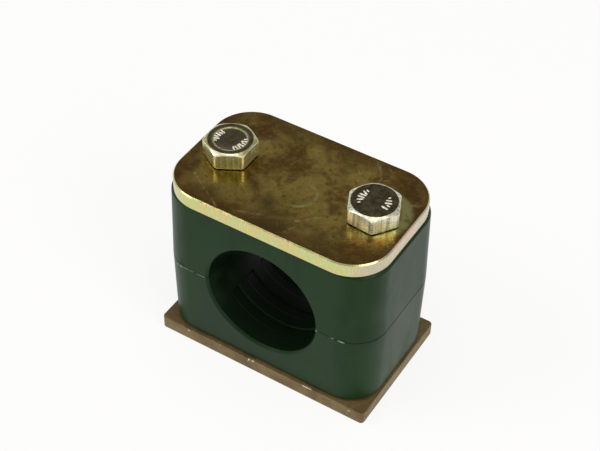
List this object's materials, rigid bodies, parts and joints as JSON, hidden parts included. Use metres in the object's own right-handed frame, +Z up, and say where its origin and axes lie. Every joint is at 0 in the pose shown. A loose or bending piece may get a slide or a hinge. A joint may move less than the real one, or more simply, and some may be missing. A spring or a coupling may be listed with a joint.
{
  "type": "hydraulic tube clamp",
  "caption": "Two-piece plastic tube clamp with a ribbed bore, held between a cover plate and a weld plate by hexagon bolts in weld nuts.",
  "frame": {"origin": "centre of the weld plate's underside, the face that is welded to a support", "axes": "+Z up from the weld plate through the bolts to their heads, Y along the tube, X along the long side from the left bolt to the right bolt"},
  "size_m": [0.05, 0.03, 0.0464],
  "materials": {
    "weld_plate_steel": "bare rolled steel with a thin brown phosphate and oil film",
    "weld_nut_steel": "bare turned steel, oiled",
    "green_plastic": "injection moulded polypropylene, dark green, semi-matte",
    "cover_plate_steel": "steel with yellow iridescent zinc plating",
    "bolt_steel": "steel with yellow iridescent zinc plating, darker on the head top"
  },
  "bodies": {
    "base": {"weld_plate": "weld_plate_steel", "weld_nut_left": "weld_nut_steel", "weld_nut_right": "weld_nut_steel", "lower_half": "green_plastic"},
    "upper_half": {"upper_half": "green_plastic"},
    "cover_plate": {"cover_plate": "cover_plate_steel"},
    "bolt_left": {"bolt_left": "bolt_steel"},
    "bolt_right": {"bolt_right": "bolt_steel"}
  },
  "joints": [
    {"name": "upper_half_lift", "type": "slide", "parent": "base", "child": "upper_half", "axis": [0, 0, 1], "range_m": [0, 0.03]},
    {"name": "cover_plate_lift", "type": "slide", "parent": "upper_half", "child": "cover_plate", "axis": [0, 0, 1], "range_m": [0, 0.015]},
    {"name": "bolt_left_unscrew", "type": "slide", "parent": "cover_plate", "child": "bolt_left", "axis": [0, 0, 1], "range_m": [0, 0.046]},
    {"name": "bolt_right_unscrew", "type": "slide", "parent": "cover_plate", "child": "bolt_right", "axis": [0, 0, 1], "range_m": [0, 0.046]}
  ]
}
